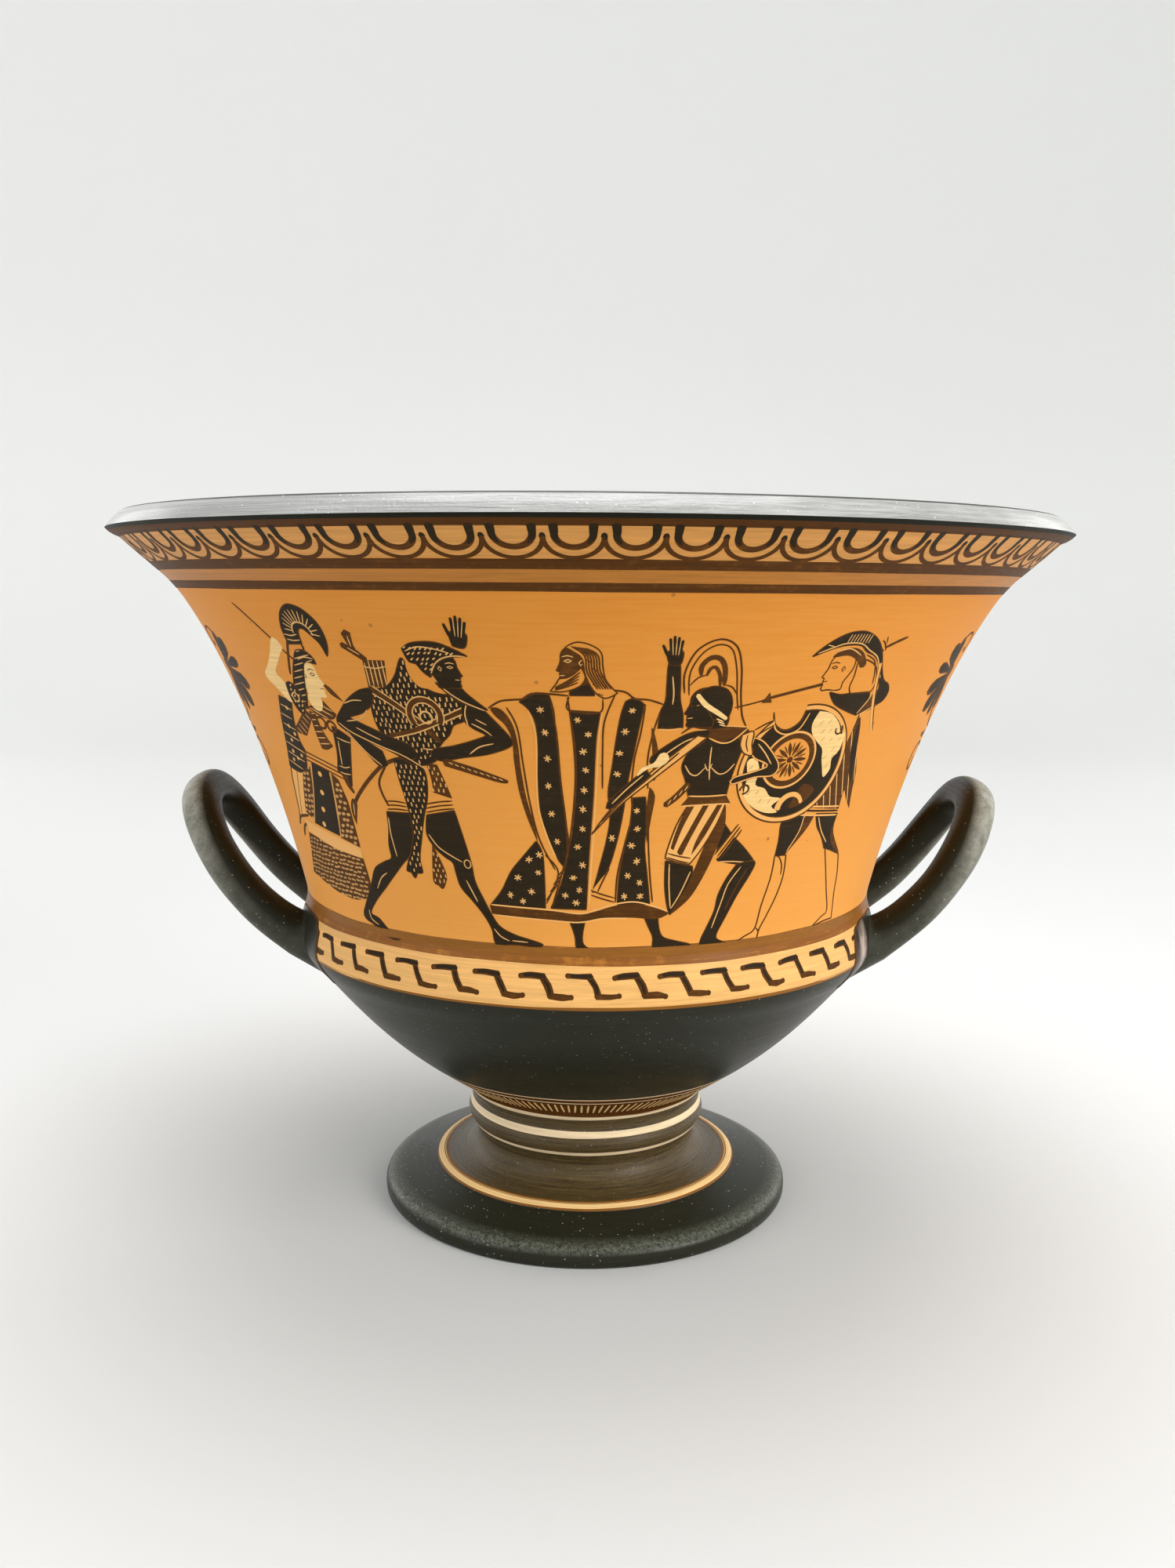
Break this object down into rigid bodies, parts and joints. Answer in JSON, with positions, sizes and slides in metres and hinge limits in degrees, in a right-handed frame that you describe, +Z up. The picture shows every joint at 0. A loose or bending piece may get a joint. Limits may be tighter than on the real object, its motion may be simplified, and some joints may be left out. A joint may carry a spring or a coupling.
{
  "type": "greek krater",
  "caption": "Wide flared mixing bowl on a turned stem and foot, with upswept handles and black-figure painting, for holding and serving liquid or for display.",
  "frame": {"origin": "middle of the foot's underside, on the surface it stands on", "axes": "+Z up along the turning axis, +X through the middle of one handle, -Y out of the main painted side"},
  "size_m": [0.279, 0.279, 0.2084],
  "materials": {
    "painted_clay": "satin fired clay, orange, with black and brown painted slip"
  },
  "bodies": {
    "root": {"krater": "painted_clay"}
  },
  "joints": []
}
